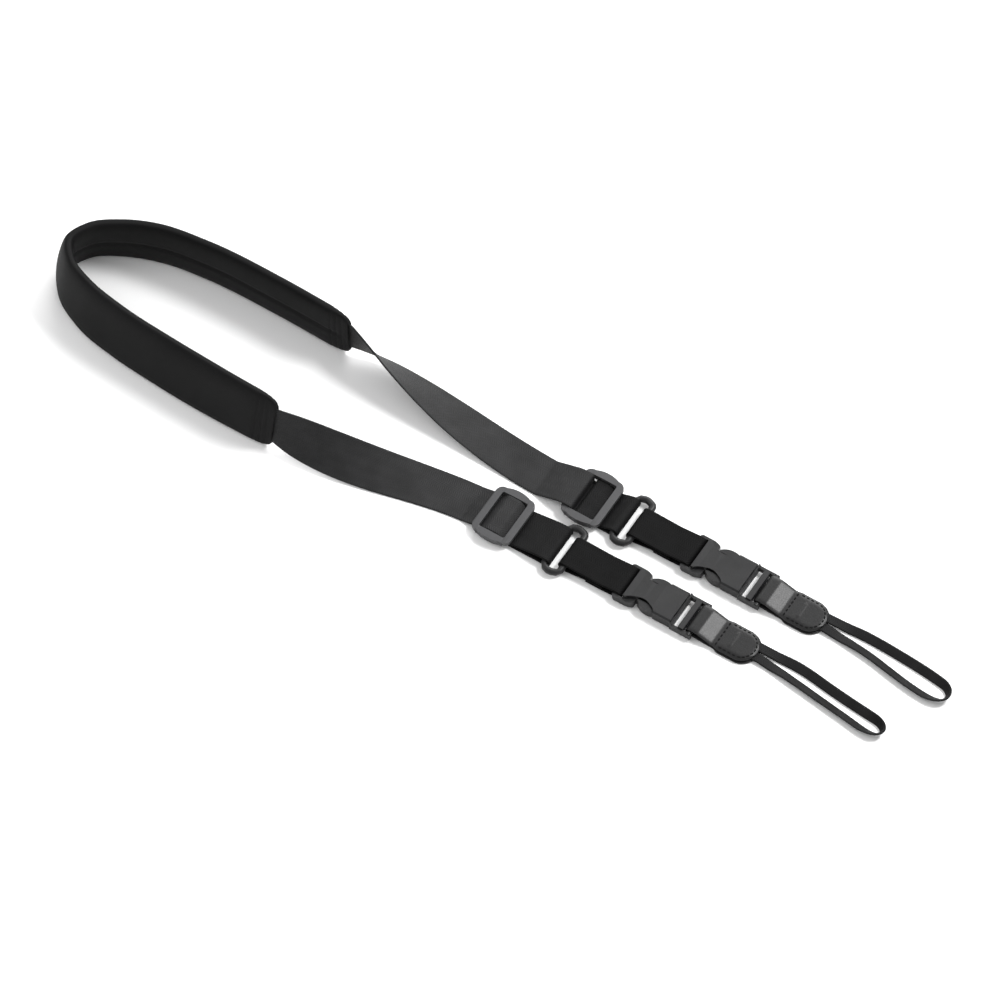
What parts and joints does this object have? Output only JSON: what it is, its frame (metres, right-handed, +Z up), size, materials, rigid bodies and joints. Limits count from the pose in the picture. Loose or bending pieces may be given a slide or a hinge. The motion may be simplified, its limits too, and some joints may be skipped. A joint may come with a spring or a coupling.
{
  "type": "neck strap",
  "caption": "Padded neck strap for binoculars or a camera: foam pad, webbing arms with sliders, rings, side-release buckles and leather tabs with thin lug loops.",
  "frame": {"origin": "on the table under the middle of the strap, measured without the two thin lug loops", "axes": "+X along the strap from the neck pad to the lug loops, +Y towards the longer (left) arm, +Z up from the table"},
  "size_m": [0.5596, 0.0847, 0.038],
  "materials": {
    "neoprene": "matt smooth-faced neoprene",
    "foam": "closed-cell foam",
    "webbing": "woven nylon webbing, soft sheen",
    "tape": "narrow woven tape",
    "plastic": "moulded acetal, satin",
    "leather": "black grained leather, slight gloss"
  },
  "bodies": {
    "strap": {"pad_sleeve": "neoprene", "pad_inner_foam": "foam", "pad_outer_foam": "foam", "pad_webbing_core": "webbing", "right_webbing": "webbing", "left_webbing": "webbing"},
    "right_slider": {"right_slider": "plastic"},
    "right_adjuster": {"right_adjuster_loop": "webbing"},
    "right_ring": {"right_ring": "plastic"},
    "right_link": {"right_link_strap": "webbing"},
    "right_socket": {"right_buckle_socket": "plastic"},
    "right_plug": {"right_buckle_plug": "plastic"},
    "right_inner_prong": {"right_inner_prong": "plastic"},
    "right_outer_prong": {"right_outer_prong": "plastic"},
    "right_tab": {"right_leather_tab": "leather", "right_loop_sewn_ends": "tape", "right_lug_loop": "tape"},
    "left_slider": {"left_slider": "plastic"},
    "left_adjuster": {"left_adjuster_loop": "webbing"},
    "left_ring": {"left_ring": "plastic"},
    "left_link": {"left_link_strap": "webbing"},
    "left_socket": {"left_buckle_socket": "plastic"},
    "left_plug": {"left_buckle_plug": "plastic"},
    "left_inner_prong": {"left_inner_prong": "plastic"},
    "left_outer_prong": {"left_outer_prong": "plastic"},
    "left_tab": {"left_leather_tab": "leather", "left_loop_sewn_ends": "tape", "left_lug_loop": "tape"}
  },
  "joints": [
    {"name": "right_slider_slide", "type": "slide", "parent": "strap", "child": "right_slider", "axis": [1, 0, 0], "range_m": [-0.04, 0.02], "deforming": ["right_webbing"]},
    {"name": "right_adjuster_slide", "type": "slide", "parent": "right_slider", "child": "right_adjuster", "axis": [1, 0, 0], "range_m": [-0.01, 0.02], "deforming": ["right_adjuster_loop"]},
    {"name": "right_ring_hinge", "type": "hinge", "parent": "right_adjuster", "child": "right_ring", "pos_m": [0.0886, -0.0105, 0.0034], "axis": [0, 1, 0], "range_deg": [-75, 75]},
    {"name": "right_link_hinge", "type": "hinge", "parent": "right_ring", "child": "right_link", "pos_m": [0.0986, -0.0105, 0.0034], "axis": [0, 1, 0], "range_deg": [-60, 60]},
    {"name": "right_socket_hinge", "type": "hinge", "parent": "right_link", "child": "right_socket", "pos_m": [0.1329, -0.0105, 0.0042], "axis": [0, 1, 0], "range_deg": [-45, 45]},
    {"name": "right_plug_slide", "type": "slide", "parent": "right_socket", "child": "right_plug", "axis": [1, 0, 0], "range_m": [0, 0.03], "deforming": ["right_inner_prong", "right_outer_prong"]},
    {"name": "right_inner_prong_flex", "type": "hinge", "parent": "right_plug", "child": "right_inner_prong", "pos_m": [0.1659, -0.0027, 0.0042], "axis": [0, 0, 1], "range_deg": [0, 6], "stiffness_Nm_per_rad": 0.3},
    {"name": "right_outer_prong_flex", "type": "hinge", "parent": "right_plug", "child": "right_outer_prong", "pos_m": [0.1659, -0.0183, 0.0042], "axis": [0, 0, 1], "range_deg": [-6, 0], "stiffness_Nm_per_rad": 0.3},
    {"name": "right_tab_hinge", "type": "hinge", "parent": "right_plug", "child": "right_tab", "pos_m": [0.1793, -0.0105, 0.0042], "axis": [0, 1, 0], "range_deg": [-60, 60]},
    {"name": "left_slider_slide", "type": "slide", "parent": "strap", "child": "left_slider", "axis": [1, 0, 0], "range_m": [-0.04, 0.01], "deforming": ["left_webbing"]},
    {"name": "left_adjuster_slide", "type": "slide", "parent": "left_slider", "child": "left_adjuster", "axis": [1, 0, 0], "range_m": [-0.005, 0.02], "deforming": ["left_adjuster_loop"]},
    {"name": "left_ring_hinge", "type": "hinge", "parent": "left_adjuster", "child": "left_ring", "pos_m": [0.1101, 0.025, 0.0034], "axis": [0, 1, 0], "range_deg": [-75, 75]},
    {"name": "left_link_hinge", "type": "hinge", "parent": "left_ring", "child": "left_link", "pos_m": [0.1201, 0.025, 0.0034], "axis": [0, 1, 0], "range_deg": [-60, 60]},
    {"name": "left_socket_hinge", "type": "hinge", "parent": "left_link", "child": "left_socket", "pos_m": [0.1544, 0.025, 0.0042], "axis": [0, 1, 0], "range_deg": [-45, 45]},
    {"name": "left_plug_slide", "type": "slide", "parent": "left_socket", "child": "left_plug", "axis": [1, 0, 0], "range_m": [0, 0.03], "deforming": ["left_inner_prong", "left_outer_prong"]},
    {"name": "left_inner_prong_flex", "type": "hinge", "parent": "left_plug", "child": "left_inner_prong", "pos_m": [0.1874, 0.0328, 0.0042], "axis": [0, 0, 1], "range_deg": [0, 6], "stiffness_Nm_per_rad": 0.3},
    {"name": "left_outer_prong_flex", "type": "hinge", "parent": "left_plug", "child": "left_outer_prong", "pos_m": [0.1874, 0.0172, 0.0042], "axis": [0, 0, 1], "range_deg": [-6, 0], "stiffness_Nm_per_rad": 0.3},
    {"name": "left_tab_hinge", "type": "hinge", "parent": "left_plug", "child": "left_tab", "pos_m": [0.2008, 0.025, 0.0042], "axis": [0, 1, 0], "range_deg": [-60, 60]}
  ],
  "couplings": [
    {"joint": "right_adjuster_slide", "follows": "right_slider_slide", "ratio": -0.5},
    {"joint": "left_adjuster_slide", "follows": "left_slider_slide", "ratio": -0.5}
  ]
}
